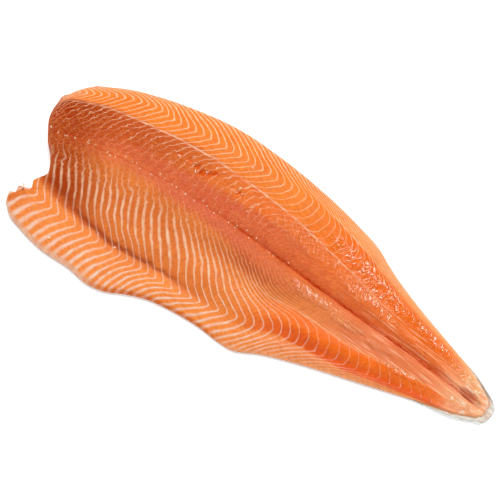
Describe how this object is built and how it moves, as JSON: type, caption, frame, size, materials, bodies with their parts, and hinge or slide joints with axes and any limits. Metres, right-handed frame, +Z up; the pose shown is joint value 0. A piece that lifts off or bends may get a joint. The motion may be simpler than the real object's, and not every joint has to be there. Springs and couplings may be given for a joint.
{
  "type": "raw salmon fillet",
  "caption": "Whole raw side of a large salmon, lying skin side down: thick back muscle, thin belly flap, a groove along the middle and a flat tail with a rim of bare skin.",
  "frame": {"origin": "centre of the bounding box's bottom face, on the surface that the fillet lies on", "axes": "+X from the head cut to the tail, +Y from the belly flap to the back, +Z up from the skin"},
  "size_m": [0.5636, 0.2358, 0.0372],
  "materials": {
    "flesh": "wet raw flesh, orange with pale stripes"
  },
  "bodies": {
    "root": {"fillet": "flesh"}
  },
  "joints": []
}
